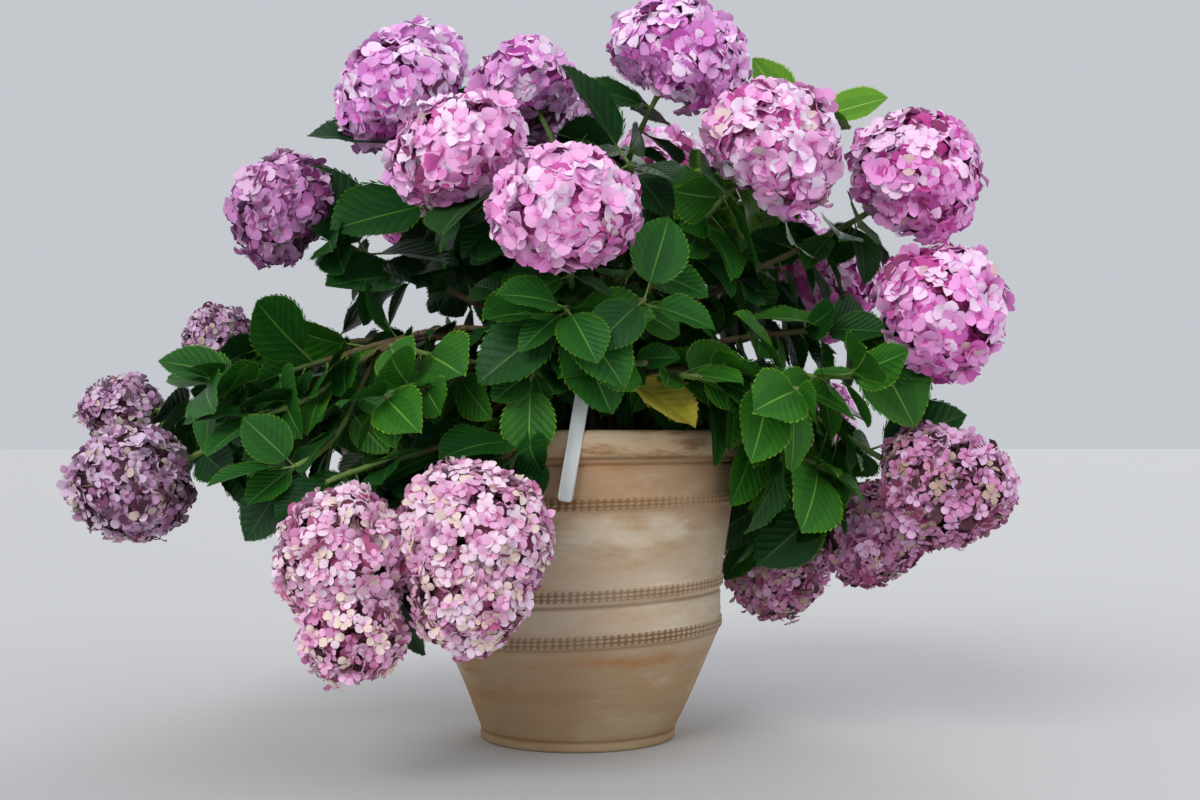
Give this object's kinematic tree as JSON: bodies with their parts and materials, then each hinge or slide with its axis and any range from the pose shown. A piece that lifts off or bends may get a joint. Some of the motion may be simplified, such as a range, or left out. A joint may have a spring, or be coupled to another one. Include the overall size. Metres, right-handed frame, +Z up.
{
  "type": "potted hydrangea shrub",
  "caption": "Mophead hydrangea with domed pink flower heads over broad toothed leaves, spilling on all sides over a hand-thrown terracotta pot.",
  "frame": {"origin": "middle of the pot's flat underside", "axes": "+Z up, -Y towards the viewer of the picture, +X to the viewer's right"},
  "size_m": [1.1659, 0.9046, 0.917],
  "materials": {
    "terracotta": "matte",
    "soil": "matte",
    "bark": "matte",
    "foliage": "satin",
    "label": "satin"
  },
  "bodies": {
    "root": {"pot": "terracotta", "soil": "soil", "stool": "bark", "plant_label": "label", "cane_front_middle": "bark", "cane_top_left": "bark", "cane_top_middle": "bark", "cane_top_right": "bark", "cane_upper_right": "bark", "cane_sky_leaves": "bark", "cane_middle_leaves": "bark", "cane_far_upper_right": "bark", "cane_right": "bark", "cane_back_right": "bark", "cane_right_low": "bark", "cane_left_high": "bark", "cane_left_far": "bark", "cane_left_back": "bark", "cane_left_side": "bark", "cane_left_front": "bark", "cane_front_left_low": "bark", "cane_front_low": "bark", "cane_front_rim": "bark", "cane_right_rim": "bark", "cane_right_under": "bark", "cane_back_left_high": "bark", "cane_back_middle": "bark", "cane_back_right_high": "bark", "cane_back_right_low": "bark", "cane_back_low": "bark", "cane_back_left_low": "bark", "mass_front_middle": "foliage", "mass_top_left": "foliage", "mass_top_middle": "foliage", "mass_top_right": "foliage", "mass_upper_right": "foliage", "mass_sky_leaves": "foliage", "mass_middle_leaves": "foliage", "mass_far_upper_right": "foliage", "mass_right": "foliage", "mass_back_right": "foliage", "mass_right_low": "foliage", "mass_left_high": "foliage", "mass_left_far": "foliage", "mass_left_back": "foliage", "mass_left_side": "foliage", "mass_left_front": "foliage", "mass_front_left_low": "foliage", "mass_front_low": "foliage", "mass_front_rim": "foliage", "mass_right_rim": "foliage", "mass_right_under": "foliage", "mass_back_left_high": "foliage", "mass_back_middle": "foliage", "mass_back_right_high": "foliage", "mass_back_right_low": "foliage", "mass_back_low": "foliage", "mass_back_left_low": "foliage"}
  },
  "joints": []
}
